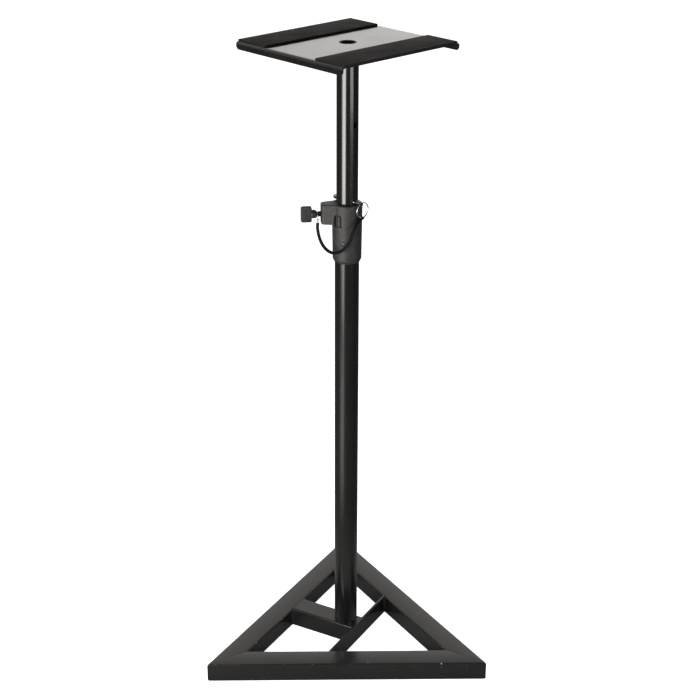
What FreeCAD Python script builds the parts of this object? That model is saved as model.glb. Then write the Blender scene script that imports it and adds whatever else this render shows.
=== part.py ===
import FreeCAD, Part

import math
import os

from FreeCAD import Placement, Rotation, Vector

# Studio speaker stand: a welded triangle of box tube, a two-tube telescopic pole with a moulded
# clamp collar and a tethered safety pin, and a folded steel platform with two rubber strips.
# Millimetres and degrees. The origin is on the floor under the pole's axis, +Z is up, and the
# triangle's front bar lies towards -Y. Turns are counted about +Z from +X.

# Base triangle
base_side = 485.0            # outer corner to outer corner
bar_width = 40.0
bar_height = 35.0
bar_wall = 2.0
bar_corner = 3.0             # outside corner radius of the box tube
strip_thickness = 4.0        # flat strip that carries the free end of the pole bar
strip_clearance = 3.0        # lower pole's side to the strip's near face
weld_leg = 3.5
pole_bar_turn = -30.0        # the pole bar leaves the left bar square to it

# Lower pole and what holds it to the base
lower_pole_diameter = 40.0
lower_pole_wall = 1.5
lower_pole_length = 783.0
foot_plug_height = 14.0
foot_bolt_diameter = 10.0
foot_bolt_flats = 16.0
foot_bolt_head = 6.4
foot_washer_diameter = 20.0
foot_washer_thickness = 2.0
spanner_hole_diameter = 26.0
bolt_clearance = 0.5         # radial room of a bolt in a plain hole

# Upper pole
upper_pole_diameter = 35.0
upper_pole_wall = 1.5
upper_pole_length = 720.0
guide_height = 8.0
guide_spigot = 25.0
guide_bore_diameter = 24.0
running_gap = 0.05           # radial room of a sliding or turning fit
piece_gap = 0.3              # room between pieces that move past each other

# Clamp collar
collar_height = 99.0
collar_lip = 8.0             # collar above the lower pole's end
collar_top_wall = 4.9        # outside the lower pole, at the top
collar_skirt_wall = 3.6      # the same, above the bottom chamfer
collar_chamfer_height = 5.0
collar_chamfer_width = 2.5
collar_edge_radius = 1.8
bushing_length = 60.0
bushing_flange = 1.5
clamp_turn = 187.0
clamp_drop = 17.3            # collar top to the clamp screw's axis
block_length = 17.9          # collar's side to the block's end face
block_height = 33.3
block_end_width = 18.0
block_root_width = 30.0
block_corner_radius = 5.0
pocket_turn = -128.0
pocket_width = 14.0
pocket_depth = 3.6
pocket_top_drop = 14.3       # collar top to the top of the pocket's arch
pocket_height = 22.0
pocket_rib_radius = 3.4
pocket_rib_drop = 3.0        # arch's top to the rib's top
collar_screw_turn = -107.0
collar_screw_drop = 63.0
collar_screw_diameter = 3.0
collar_screw_head_diameter = 7.2
collar_screw_head_height = 1.4
collar_screw_recess_diameter = 8.6

# Clamp screw
stud_diameter = 6.0
stud_point_diameter = 4.0
stud_point_length = 1.5
shoe_diameter = 10.0
shoe_thickness = 3.2
clamp_travel = 2.0           # how far two turns move the shoe
insert_diameter = 11.0
insert_length = 16.8         # the part held in the block
insert_nose_diameter = 8.8
insert_nose_length = 4.3
hub_gap = 1.8                # insert nose to knob hub, where the tether ring hangs
hub_tip_diameter = 7.6
hub_diameter = 13.8
hub_taper_length = 2.7
hub_length = 8.8
wing_length = 17.7
wing_width = 26.0
wing_root_thickness = 8.4
wing_end_thickness = 6.8
wing_corner_radius = 3.0
stud_depth_in_knob = 19.0

# Safety pin, its ring and the tether
pin_diameter = 8.0
pin_clearance = 0.3          # radial room of the pin in the pole's holes
pin_pitch = 126.0
pin_holes_below = 2
pin_holes_above = 1
pin_turn = -46.0
pin_roll = 23.4              # the pin's own turn, which leans its ring
pin_front_reach = 33.4
pin_back_reach = 29.0
pin_tip_chamfer = 1.0
ring_hole_reach = 29.9
ring_hole_clearance = 1.1    # radial room of the ring's wire in the pin
ring_diameter = 27.0         # outside
ring_wire_diameter = 1.8
tether_ring_diameter = 18.4  # outside
tether_ring_wire_diameter = 1.2
tether_diameter = 3.0

# Platform
platform_height = 1085.0     # floor to the sheet's top face, as set
platform_turn = 42.5
platform_length = 248.0      # across the two folded edges
platform_width = 240.0
sheet_thickness = 2.0
flange_drop = 12.0
bend_radius = 4.0            # outside
flange_corner = 4.0
dimple_diameter = 29.0
dimple_floor_diameter = 21.0
dimple_depth = 9.5
pad_width = 64.0
pad_thickness = 3.0
pad_edge_chamfer = 0.5
head_plug_height = 20.0
head_bolt_diameter = 10.0
head_bolt_head_diameter = 17.5
head_bolt_head_height = 5.5
head_bolt_socket_flats = 6.0
head_bolt_socket_depth = 3.0

# The tether hangs in an open loop from the ring on the clamp screw to the pin's ring.
tether_route = [
    (-47.4, -5.8, 793.6),
    (-48.3, -6.9, 786.6),
    (-47.0, -9.2, 778.9),
    (-45.0, -13.6, 770.4),
    (-40.8, -19.2, 761.8),
    (-33.8, -25.2, 754.0),
    (-23.6, -30.2, 749.4),
    (-12.0, -32.6, 752.8),
    (-3.2, -34.4, 760.0),
    (3.8, -34.6, 771.5),
    (8.0, -33.8, 784.0),
    (11.4, -32.6, 793.5),
    (15.2, -29.0, 801.0),
    (20.0, -23.0, 804.3),
]

# Heights and radii that follow from the sizes above
base_inradius = base_side / (2 * math.sqrt(3))
inner_inradius = base_inradius - bar_width
lower_pole_radius = lower_pole_diameter / 2
strip_gap = lower_pole_radius + strip_clearance
lower_pole_bore = lower_pole_radius - lower_pole_wall
lower_pole_top = bar_height + lower_pole_length
collar_top = lower_pole_top + collar_lip
collar_bottom = collar_top - collar_height
collar_top_radius = lower_pole_radius + collar_top_wall
collar_skirt_radius = lower_pole_radius + collar_skirt_wall
block_reach = collar_top_radius + block_length
insert_start = block_reach - insert_length
clamp_height = collar_top - clamp_drop
upper_pole_radius = upper_pole_diameter / 2
upper_pole_bore = upper_pole_radius - upper_pole_wall
upper_pole_top = platform_height - sheet_thickness
upper_pole_bottom = upper_pole_top - upper_pole_length
pin_radius = pin_diameter / 2
pin_height = collar_top + pin_radius + piece_gap
shoe_face = upper_pole_radius + piece_gap
shoe_back = shoe_face + shoe_thickness
nose_end = block_reach + insert_nose_length
hub_face = nose_end + hub_gap
wing_start = hub_face + hub_length
dimple_floor = platform_height - dimple_depth
up = Vector(0, 0, 1)


def turned(shape, turn):
    """The shape turned about the pole's axis."""
    copy = shape.copy()
    copy.Placement = Placement(Vector(0, 0, 0), Rotation(up, turn)).multiply(copy.Placement)
    return copy


def upright(radius, bottom, top, x=0.0, y=0.0):
    """A cylinder along +Z."""
    return Part.makeCylinder(radius, top - bottom, Vector(x, y, bottom))


def tube(outer_radius, inner_radius, bottom, top):
    return upright(outer_radius, bottom, top).cut(upright(inner_radius, bottom - 1, top + 1))


def spoke(radius, start, end, height, y=0.0):
    """A cylinder along +X, which points outwards from the pole's axis."""
    return Part.makeCylinder(radius, end - start, Vector(start, y, height), Vector(1, 0, 0))


def prism(points, direction):
    """A straight prism on a closed flat outline."""
    outline = Part.makePolygon([Vector(*p) for p in points] + [Vector(*points[0])])
    return Part.Face(outline).extrude(direction)


def revolved(profile):
    """A solid of revolution about +Z from (radius, height) points."""
    outline = Part.makePolygon([Vector(r, 0, z) for r, z in profile + profile[:1]])
    return Part.Face(outline).revolve(Vector(0, 0, 0), up, 360)


def hexagon(flats, bottom, top):
    corner = flats / math.sqrt(3)
    points = [
        (corner * math.cos(math.radians(60 * i)), corner * math.sin(math.radians(60 * i)), bottom)
        for i in range(6)
    ]
    return prism(points, Vector(0, 0, top - bottom))


def rounded_box(x_size, y_low, y_high, z_low, z_high, radius):
    """A bar along X, centred on the origin, with its four long edges rounded."""
    box = Part.makeBox(x_size, y_high - y_low, z_high - z_low, Vector(-x_size / 2, y_low, z_low))
    long_edges = [e for e in box.Edges if abs(e.tangentAt(e.FirstParameter).x) > 0.99]
    return box.makeFillet(radius, long_edges)


def box_tube(x_size, y_low, y_high):
    """A length of box tube along X, standing on the floor, with open ends."""
    outside = rounded_box(x_size, y_low, y_high, 0, bar_height, bar_corner)
    inside = rounded_box(
        x_size + 2,
        y_low + bar_wall,
        y_high - bar_wall,
        bar_wall,
        bar_height - bar_wall,
        bar_corner - bar_wall,
    )
    return outside.cut(inside)


def triangle_prism(inradius):
    """The equilateral prism about the pole's axis, one side towards -Y."""
    reach = 2 * inradius
    points = [
        (reach * math.cos(math.radians(turn)), reach * math.sin(math.radians(turn)), 0)
        for turn in (-150, -30, 90)
    ]
    return prism(points, Vector(0, 0, bar_height))


def save(node, shape):
    shape.exportStep(os.path.join("parts", node + ".step"))
    solids = shape.Solids
    print(node, len(solids), "solid(s)", round(sum(s.Volume for s in solids)), "mm3")


def group(shapes):
    return Part.makeCompound([solid for shape in shapes for solid in shape.Solids])


# ---- base -------------------------------------------------------------------------------

def front_bar():
    """One side of the triangle: a box tube mitred where the corner's bisector crosses it."""
    bar = box_tube(base_side * 1.1, -base_inradius, -inner_inradius)
    reach = base_side
    wedge = prism(
        [
            (0, 0, -1),
            (-reach * math.cos(math.radians(30)), -reach * math.sin(math.radians(30)), -1),
            (reach * math.cos(math.radians(30)), -reach * math.sin(math.radians(30)), -1),
        ],
        Vector(0, 0, bar_height + 2),
    )
    return bar.common(wedge)


def pole_bar():
    """The box tube under the pole, from the left bar's inner face to the flat strip."""
    length = inner_inradius + strip_gap
    bar = box_tube(length, -bar_width / 2, bar_width / 2)
    bar.translate(Vector((strip_gap - inner_inradius) / 2, 0, 0))
    bolt_hole = upright(foot_bolt_diameter / 2 + bolt_clearance, bar_height / 2, bar_height + 1)
    spanner_hole = upright(spanner_hole_diameter / 2, -1, bar_height / 2)
    return turned(bar.cut(bolt_hole).cut(spanner_hole), pole_bar_turn)


def cross_strip():
    strip = Part.makeBox(
        strip_thickness, base_side, bar_height, Vector(strip_gap, -base_side / 2, 0)
    )
    return turned(strip, pole_bar_turn).common(triangle_prism(inner_inradius))


def bead(corner, first, second):
    """A weld bead: a three-sided prism in an upright corner, legs along the two faces."""
    a = Vector(*corner, bar_corner)
    points = [a, a + first * weld_leg, a + second * weld_leg]
    return prism([tuple(p) for p in points], Vector(0, 0, bar_height - 2 * bar_corner))


def weld_beads():
    """Beads where the pole bar meets the left bar and the strip, and at the strip's two ends."""
    along = Vector(math.cos(math.radians(pole_bar_turn)), math.sin(math.radians(pole_bar_turn)), 0)
    across = Vector(-along.y, along.x, 0)
    beads = []
    for side in (-1, 1):
        edge = across * (side * bar_width / 2)
        left_end = edge - along * inner_inradius
        strip_end = edge + along * strip_gap
        beads.append(bead((left_end.x, left_end.y), along, across * side))
        beads.append(bead((strip_end.x, strip_end.y), along * -1, across * side))
    for normal_turn, along_bar_turn in ((-90, 0), (30, 120)):
        normal = Vector(
            math.cos(math.radians(normal_turn)), math.sin(math.radians(normal_turn)), 0
        )
        bar_way = Vector(
            math.cos(math.radians(along_bar_turn)), math.sin(math.radians(along_bar_turn)), 0
        )
        strip_way = across if normal_turn == -90 else across * -1
        for offset, side in ((strip_gap, -1), (strip_gap + strip_thickness, 1)):
            step = (inner_inradius - offset * along.dot(normal)) / across.dot(normal)
            corner = along * offset + across * step
            way = bar_way if bar_way.dot(along) * side > 0 else bar_way * -1
            beads.append(bead((corner.x, corner.y), way, strip_way))
    return group(beads)


# ---- lower pole -------------------------------------------------------------------------

def lower_pole():
    pole = tube(lower_pole_radius, lower_pole_bore, bar_height, lower_pole_top)
    shoe_window = spoke(shoe_diameter / 2 + piece_gap, 0, lower_pole_radius + 1, clamp_height)
    screw_hole = spoke(
        collar_screw_diameter / 2, 0, lower_pole_radius + 1, collar_top - collar_screw_drop
    )
    pole = pole.cut(turned(shoe_window, clamp_turn))
    return pole.cut(turned(screw_hole, collar_screw_turn))


def foot_plug():
    """The threaded steel plug welded in the lower pole's foot."""
    top = bar_height + foot_plug_height
    return tube(lower_pole_bore, foot_bolt_diameter / 2, bar_height, top)


def foot_bolt():
    """Hexagon bolt from inside the pole bar, up into the foot plug."""
    seat = bar_height - bar_wall - foot_washer_thickness
    head = hexagon(foot_bolt_flats, seat - foot_bolt_head, seat)
    shank = upright(foot_bolt_diameter / 2, seat - 1, bar_height + foot_plug_height - 1)
    return head.fuse(shank).removeSplitter()


def foot_washer():
    top = bar_height - bar_wall
    outer = foot_washer_diameter / 2
    return tube(outer, foot_bolt_diameter / 2 + bolt_clearance, top - foot_washer_thickness, top)


# ---- clamp collar -----------------------------------------------------------------------

def collar_radius_at(height):
    """The skirt tapers evenly from the top down to its chamfer."""
    chamfer_top = collar_bottom + collar_chamfer_height
    share = (height - chamfer_top) / (collar_top - chamfer_top)
    return collar_skirt_radius + share * (collar_top_radius - collar_skirt_radius)


def clamp_block():
    """The wedge-shaped block that holds the clamp screw, drawn along +X."""
    root = collar_top_radius - 5
    half_end = block_end_width / 2
    half_root = block_root_width / 2
    bottom = collar_top - block_height
    block = prism(
        [
            (0, -half_root, bottom),
            (root, -half_root, bottom),
            (block_reach, -half_end, bottom),
            (block_reach, half_end, bottom),
            (root, half_root, bottom),
            (0, half_root, bottom),
        ],
        Vector(0, 0, block_height),
    )
    end_edges = [
        e
        for e in block.Edges
        if all(abs(v.X - block_reach) < 0.01 for v in e.Vertexes)
        and abs(e.tangentAt(e.FirstParameter).z) > 0.99
    ]
    block = block.makeFillet(block_corner_radius, end_edges)
    bottom_edges = [
        e for e in block.Edges if all(abs(v.Z - bottom) < 0.01 and v.X > 1 for v in e.Vertexes)
    ]
    return block.makeFillet(collar_edge_radius, bottom_edges)


def clamp_collar():
    skirt = revolved(
        [
            (0, collar_bottom),
            (collar_skirt_radius - collar_chamfer_width, collar_bottom),
            (collar_skirt_radius, collar_bottom + collar_chamfer_height),
            (collar_top_radius, collar_top),
            (0, collar_top),
        ]
    )
    body = skirt.fuse(turned(clamp_block(), clamp_turn)).removeSplitter()
    rim = [
        e
        for e in body.Edges
        if all(abs(v.Z - collar_top) < 0.01 for v in e.Vertexes)
    ]
    body = body.makeFillet(collar_edge_radius, rim)
    for tool in collar_pocket():
        body = body.cut(tool)
    body = body.fuse(pocket_rib()).removeSplitter()
    bushing_seat = lower_pole_top + bushing_flange
    body = body.cut(upright(lower_pole_radius + running_gap, collar_bottom - 1, bushing_seat))
    body = body.cut(upright(upper_pole_radius + piece_gap, collar_bottom, collar_top + 1))
    for tool in screw_way():
        body = body.cut(turned(tool, clamp_turn))
    screw_height = collar_top - collar_screw_drop
    seat = collar_radius_at(screw_height) - collar_screw_head_height
    counterbore = spoke(collar_screw_recess_diameter / 2, seat, seat + 10, screw_height)
    screw_hole = spoke(collar_screw_diameter / 2, 0, seat + 1, screw_height)
    return body.cut(turned(counterbore.fuse(screw_hole), collar_screw_turn))


def collar_pocket():
    """The arched pocket beside the block, open in front, as two cutting solids."""
    arch_centre = collar_top - pocket_top_drop - pocket_width / 2
    floor = collar_radius_at(arch_centre) - pocket_depth
    arch = spoke(pocket_width / 2, floor, floor + 12, arch_centre)
    bottom = collar_top - pocket_top_drop - pocket_height
    slot = Part.makeBox(
        12, pocket_width, arch_centre - bottom, Vector(floor, -pocket_width / 2, bottom)
    )
    return [turned(arch, pocket_turn), turned(slot, pocket_turn)]


def pocket_rib():
    """The half-round rib that stands in the pocket, rounded at its two ends."""
    arch_centre = collar_top - pocket_top_drop - pocket_width / 2
    top = collar_top - pocket_top_drop - pocket_rib_drop - pocket_rib_radius
    bottom = collar_top - pocket_top_drop - pocket_height - pocket_rib_radius
    axis = collar_radius_at(arch_centre) - pocket_depth - 0.5
    rib = upright(pocket_rib_radius, bottom, top, axis)
    for end in (bottom, top):
        rib = rib.fuse(Part.makeSphere(pocket_rib_radius, Vector(axis, 0, end)))
    return turned(rib.removeSplitter(), pocket_turn)


def screw_way():
    """The clamp screw's way through the block: shoe pocket, plain hole and insert seat."""
    pocket_end = shoe_back + clamp_travel + piece_gap
    return [
        spoke(shoe_diameter / 2 + piece_gap, 0, pocket_end, clamp_height),
        spoke(stud_diameter / 2 + piece_gap, 0, block_reach, clamp_height),
        spoke(insert_diameter / 2, insert_start, block_reach + 1, clamp_height),
    ]


def collar_bushing():
    """The thin nylon sleeve between the two poles, with a flange on the lower pole's end."""
    bore = upper_pole_radius + running_gap
    sleeve = tube(
        lower_pole_bore - running_gap, bore, lower_pole_top - bushing_length, lower_pole_top
    )
    flange = tube(lower_pole_radius, bore, lower_pole_top, lower_pole_top + bushing_flange)
    window = spoke(shoe_diameter / 2 + piece_gap, 0, lower_pole_radius, clamp_height)
    return sleeve.fuse(flange).removeSplitter().cut(turned(window, clamp_turn))


def collar_screw():
    """Button-head screw that keeps the collar on the lower pole."""
    height = collar_top - collar_screw_drop
    seat = collar_radius_at(height) - collar_screw_head_height
    head = spoke(collar_screw_head_diameter / 2, seat, seat + collar_screw_head_height, height)
    outer_edge = [
        e for e in head.Edges
        if len(e.Vertexes) == 1 and abs(e.Vertexes[0].X - seat - collar_screw_head_height) < 0.01
    ]
    head = head.makeFillet(collar_screw_head_height * 0.6, outer_edge)
    shank = spoke(collar_screw_diameter / 2, lower_pole_bore, seat + 0.5, height)
    return turned(head.fuse(shank).removeSplitter(), collar_screw_turn)


# ---- clamp screw ------------------------------------------------------------------------

def clamp_insert():
    """The threaded insert moulded in the block, with a nose that stands out of it."""
    body = spoke(insert_diameter / 2, insert_start, block_reach, clamp_height)
    nose = spoke(insert_nose_diameter / 2, block_reach - 1, nose_end, clamp_height)
    bore = spoke(stud_diameter / 2 + running_gap, insert_start - 1, nose_end + 1, clamp_height)
    return turned(body.fuse(nose).removeSplitter().cut(bore), clamp_turn)


def clamp_stud():
    start = shoe_back + running_gap
    rod = spoke(stud_diameter / 2, start, hub_face + stud_depth_in_knob, clamp_height)
    point = spoke(stud_point_diameter / 2, start - stud_point_length, start + 1, clamp_height)
    return turned(rod.fuse(point).removeSplitter(), clamp_turn)


def clamp_shoe():
    """The nylon shoe that presses on the upper pole, hollowed to the pole's radius."""
    blank = spoke(shoe_diameter / 2, upper_pole_radius - 3, shoe_back, clamp_height)
    hollow = upright(shoe_face, clamp_height - shoe_diameter, clamp_height + shoe_diameter)
    socket_depth = stud_point_length + running_gap
    socket = spoke(
        stud_point_diameter / 2 + running_gap, shoe_back - socket_depth, shoe_back + 1, clamp_height
    )
    return turned(blank.cut(hollow).cut(socket), clamp_turn)


def clamp_knob():
    """Wing knob: a tapered hub and a flat upright wing, moulded over the stud."""
    hub_radius = hub_diameter / 2
    taper = Part.makeCone(
        hub_tip_diameter / 2,
        hub_radius,
        hub_taper_length,
        Vector(hub_face, 0, clamp_height),
        Vector(1, 0, 0),
    )
    hub = spoke(hub_radius, hub_face + hub_taper_length, wing_start, clamp_height)
    wing_end = wing_start + wing_length
    low = clamp_height - wing_width / 2
    wing = prism(
        [
            (wing_start, -wing_root_thickness / 2, low),
            (wing_end, -wing_end_thickness / 2, low),
            (wing_end, wing_end_thickness / 2, low),
            (wing_start, wing_root_thickness / 2, low),
        ],
        Vector(0, 0, wing_width),
    )
    corners = [e for e in wing.Edges if abs(e.tangentAt(e.FirstParameter).y) > 0.99]
    wing = wing.makeFillet(wing_corner_radius, corners)
    sides = [
        e
        for e in wing.Edges
        if all(v.X > wing_start + 0.01 or abs(v.Z - clamp_height) > 0 for v in e.Vertexes)
    ]
    wing = wing.makeFillet(wing_corner_radius / 4, sides)
    knob = taper.fuse(hub).fuse(wing).removeSplitter()
    bore = spoke(stud_diameter / 2, hub_face - 1, hub_face + stud_depth_in_knob, clamp_height)
    return turned(knob.cut(bore), clamp_turn)


def tether_ring():
    """The small wire ring that hangs on the clamp screw between the insert and the hub."""
    wire = tether_ring_wire_diameter / 2
    radius = tether_ring_diameter / 2 - wire
    top_of_wire = clamp_height + stud_diameter / 2 + running_gap + wire
    centre = Vector((nose_end + hub_face) / 2, 0, top_of_wire - radius)
    return turned(Part.makeTorus(radius, wire, centre, Vector(1, 0, 0)), clamp_turn)


# ---- mast -------------------------------------------------------------------------------

def upper_pole():
    pole = tube(upper_pole_radius, upper_pole_bore, upper_pole_bottom, upper_pole_top)
    for step in range(-pin_holes_below, pin_holes_above + 1):
        height = pin_height + step * pin_pitch
        radius = pin_radius + pin_clearance
        hole = spoke(radius, -upper_pole_radius - 1, upper_pole_radius + 1, height)
        pole = pole.cut(turned(hole, pin_turn))
    return pole


def pole_guide():
    """The nylon bush on the upper pole's foot. It slides in the lower pole."""
    top = upper_pole_bottom - piece_gap
    flange = upright(lower_pole_bore - running_gap, top - guide_height, top)
    spigot = upright(upper_pole_bore - running_gap, top - 1, top + guide_spigot)
    bore = upright(guide_bore_diameter / 2, top - guide_height - 1, top + guide_spigot + 1)
    return flange.fuse(spigot).removeSplitter().cut(bore)


def head_plug():
    """The threaded plug in the upper pole's head, under the platform's dimple."""
    top = dimple_floor - sheet_thickness
    return tube(upper_pole_bore, head_bolt_diameter / 2, top - head_plug_height, top)


def top_plate():
    """The folded sheet, its dimple pressed down into the pole's head."""
    half = platform_length / 2
    low = platform_height - flange_drop
    inner_bend = bend_radius - sheet_thickness
    outside = fold_outline(half, bend_radius, platform_height, low)
    inside = fold_outline(
        half - sheet_thickness, inner_bend, platform_height - sheet_thickness, low - 1
    )
    sheet = outside.cut(inside)
    for side in (-1, 1):
        edge = side * platform_width / 2
        clip = [
            (-half - 1, edge, low),
            (-half - 1, edge - side * flange_corner, low),
            (-half - 1, edge, low + flange_corner),
        ]
        sheet = sheet.cut(prism(clip, Vector(platform_length + 2, 0, 0)))
    rim = dimple_diameter / 2
    floor = dimple_floor_diameter / 2
    slope = math.hypot(rim - floor, dimple_depth)
    offset = (slope - (rim - floor)) * sheet_thickness / dimple_depth
    bolt_hole = head_bolt_diameter / 2 + bolt_clearance
    under = platform_height - sheet_thickness
    hollow = revolved([(0, dimple_floor), (floor, dimple_floor), (rim, platform_height + 0.01),
                       (0, platform_height + 0.01)])
    cup = revolved([(0, dimple_floor - sheet_thickness), (floor + offset, dimple_floor - sheet_thickness),
                    (rim + offset, under), (0, under)])
    sheet = sheet.fuse(cup).cut(hollow).cut(upright(bolt_hole, low, platform_height))
    return turned(sheet.removeSplitter(), platform_turn)


def fold_outline(half, radius, top, low):
    """A solid of the channel's outline: flat top, two bends and two upright sides."""
    block = Part.makeBox(
        2 * half, platform_width, top - low, Vector(-half, -platform_width / 2, low)
    )
    bends = [
        e
        for e in block.Edges
        if abs(e.tangentAt(e.FirstParameter).y) > 0.99 and e.CenterOfMass.z > top - 0.01
    ]
    return block.makeFillet(radius, bends)


def pad(side):
    """A rubber strip along one unfolded edge of the platform, from bend to bend."""
    length = platform_length - 2 * bend_radius
    low_y = platform_width / 2 - pad_width if side > 0 else -platform_width / 2
    strip = Part.makeBox(length, pad_width, pad_thickness, Vector(-length / 2, low_y, platform_height))
    top_edges = [
        e for e in strip.Edges
        if all(abs(v.Z - platform_height - pad_thickness) < 0.01 for v in e.Vertexes)
    ]
    return turned(strip.makeChamfer(pad_edge_chamfer, top_edges), platform_turn)


def head_bolt():
    """Button-head socket screw, its head below the platform's top face."""
    radius = head_bolt_head_diameter / 2
    top = dimple_floor + head_bolt_head_height
    head = upright(radius, dimple_floor, top)
    top_edge = [e for e in head.Edges if abs(e.CenterOfMass.z - top) < 0.01 and e.Length > radius]
    head = head.makeFillet(head_bolt_head_height * 0.7, top_edge)
    shank_end = dimple_floor - sheet_thickness - head_plug_height
    shank = upright(head_bolt_diameter / 2, shank_end, dimple_floor + 1)
    socket = hexagon(head_bolt_socket_flats, top - head_bolt_socket_depth, top + 1)
    return head.fuse(shank).removeSplitter().cut(socket)


# ---- safety pin -------------------------------------------------------------------------

def rolled(shape):
    """The shape turned about the pin's own axis, then laid along the pin's way."""
    copy = shape.copy()
    copy.rotate(Vector(0, 0, pin_height), Vector(1, 0, 0), pin_roll)
    return turned(copy, pin_turn)


def safety_pin():
    pin = spoke(pin_radius, -pin_back_reach, pin_front_reach, pin_height)
    pin = pin.makeChamfer(pin_tip_chamfer, [e for e in pin.Edges if len(e.Vertexes) == 1])
    hole = Part.makeCylinder(
        ring_wire_diameter / 2 + ring_hole_clearance,
        pin_diameter + 2,
        Vector(ring_hole_reach, -pin_radius - 1, pin_height),
        Vector(0, 1, 0),
    )
    return rolled(pin.cut(hole))


def pin_ring():
    """The pull ring, hanging from the cross hole at the pin's outer end."""
    wire = ring_wire_diameter / 2
    radius = ring_diameter / 2 - wire
    centre = Vector(ring_hole_reach, 0, pin_height - radius)
    return rolled(Part.makeTorus(radius, wire, centre, Vector(1, 0, 0)))


def tether():
    """A plain round stand-in for the strap: straight runs joined by tangent arcs."""
    points = [Vector(*p) for p in tether_route]
    pieces = []
    run_start = points[0]
    length = 0.0
    for before, here, after in zip(points, points[1:], points[2:]):
        back = (before - here).normalize()
        ahead = (after - here).normalize()
        half_turn = (math.pi - back.getAngle(ahead)) / 2
        shorter = min((before - here).Length, (after - here).Length)
        cut_back = 0.45 * shorter
        radius = cut_back / math.tan(half_turn)
        print("tether radius", round(radius, 1), "run", round((after - here).Length, 1))
        arc_start = here + back * cut_back
        arc_end = here + ahead * cut_back
        middle_way = (back + ahead).normalize()
        centre_distance = radius / math.cos(half_turn)
        arc_middle = here + middle_way * (centre_distance - radius)
        pieces.append(Part.LineSegment(run_start, arc_start).toShape())
        pieces.append(Part.Arc(arc_start, arc_middle, arc_end).toShape())
        length += (arc_start - run_start).Length + 2 * half_turn * radius
        run_start = arc_end
    pieces.append(Part.LineSegment(run_start, points[-1]).toShape())
    length += (points[-1] - run_start).Length
    path = Part.Wire(pieces)
    circle = Part.Circle(points[0], points[1] - points[0], tether_diameter / 2)
    cord = path.makePipeShell([Part.Wire(circle.toShape())], True, True)
    section = math.pi * (tether_diameter / 2) ** 2
    print("tether length", round(length, 1), "volume share", round(cord.Volume / section / length, 4))
    return cord


os.makedirs("parts", exist_ok=True)

side_bar = front_bar()
save("base_front_bar", side_bar)
save("base_right_bar", turned(side_bar, 120))
save("base_left_bar", turned(side_bar, 240))
save("pole_bar", pole_bar())
save("cross_strip", cross_strip())
save("weld_beads", weld_beads())
save("lower_pole", lower_pole())
save("pole_foot_plug", foot_plug())
save("pole_foot_bolt", foot_bolt())
save("pole_foot_washer", foot_washer())
save("clamp_collar", clamp_collar())
save("collar_bushing", collar_bushing())
save("collar_screw", collar_screw())
save("clamp_insert", clamp_insert())
save("clamp_stud", clamp_stud())
save("clamp_shoe", clamp_shoe())
save("clamp_knob", clamp_knob())
save("tether_ring", tether_ring())
save("upper_pole", upper_pole())
save("upper_pole_guide", pole_guide())
save("pole_head_plug", head_plug())
save("top_plate", top_plate())
save("plate_bolt", head_bolt())
save("rear_rubber_strip", pad(1))
save("front_rubber_strip", pad(-1))
save("safety_pin", safety_pin())
save("pin_ring", pin_ring())
save("pin_tether", tether())
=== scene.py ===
import math

import bmesh
import bpy
import numpy as np
from mathutils import Matrix, Vector


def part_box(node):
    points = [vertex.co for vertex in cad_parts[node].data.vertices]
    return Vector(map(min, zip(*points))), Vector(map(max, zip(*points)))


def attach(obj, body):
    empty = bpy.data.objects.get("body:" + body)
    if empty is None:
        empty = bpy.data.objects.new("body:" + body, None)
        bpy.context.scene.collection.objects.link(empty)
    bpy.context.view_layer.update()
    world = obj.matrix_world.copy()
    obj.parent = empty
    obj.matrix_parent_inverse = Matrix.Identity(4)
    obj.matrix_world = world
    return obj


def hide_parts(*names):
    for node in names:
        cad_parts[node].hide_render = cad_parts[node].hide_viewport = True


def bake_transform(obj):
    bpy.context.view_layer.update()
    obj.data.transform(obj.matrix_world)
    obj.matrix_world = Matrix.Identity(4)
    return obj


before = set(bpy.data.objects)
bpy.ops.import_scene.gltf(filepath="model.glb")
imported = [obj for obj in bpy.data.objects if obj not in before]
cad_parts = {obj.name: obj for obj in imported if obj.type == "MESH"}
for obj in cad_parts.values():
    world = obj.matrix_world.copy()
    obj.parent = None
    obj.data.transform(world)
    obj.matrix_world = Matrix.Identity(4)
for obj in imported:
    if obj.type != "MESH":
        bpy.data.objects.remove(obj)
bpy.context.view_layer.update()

mm = 0.001
poleTurn = {"clamp": 187.0, "pin": -46.0, "platform": 42.5, "poleBar": -30.0}  # degrees

view = {
    "place": (-0.0423, -2.365, 1.6018),
    "headingRight": 1.161,      # degrees away from +Y, towards +X
    "pitchDown": 23.633,
    "roll": 0.263,
    "lens": 79.21,
    "sensor": 36.0,
    "clipEnd": 50,
}

keyTurn = -127.0
keyDistance = 1.3
keyColor = (1.0, 0.965, 0.93)

lights = {                          # turn in degrees from +X, distance and height in metres
    "keyLight": {
        "turn": keyTurn, "distance": keyDistance, "height": 0.74,
        "size": (0.8, 0.78), "power": 24.0, "color": keyColor,
    },
    "lowLight": {                   # a dimmer panel under the key light
        "turn": keyTurn, "distance": keyDistance, "height": 0.22,
        "size": (0.8, 0.26), "power": 2.2, "color": keyColor,
    },
    "fillLight": {
        "turn": -48.0, "distance": 1.6, "height": 0.86,
        "size": (0.8, 0.6), "power": 9.5, "color": (0.88, 0.93, 1.0),
    },
}

topLight = {
    "place": (0.2, 0.6, 3.2), "target": (0, 0, 0.6),
    "size": (2.0, 2.0), "power": 10.0, "color": (1, 1, 1),
}

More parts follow.
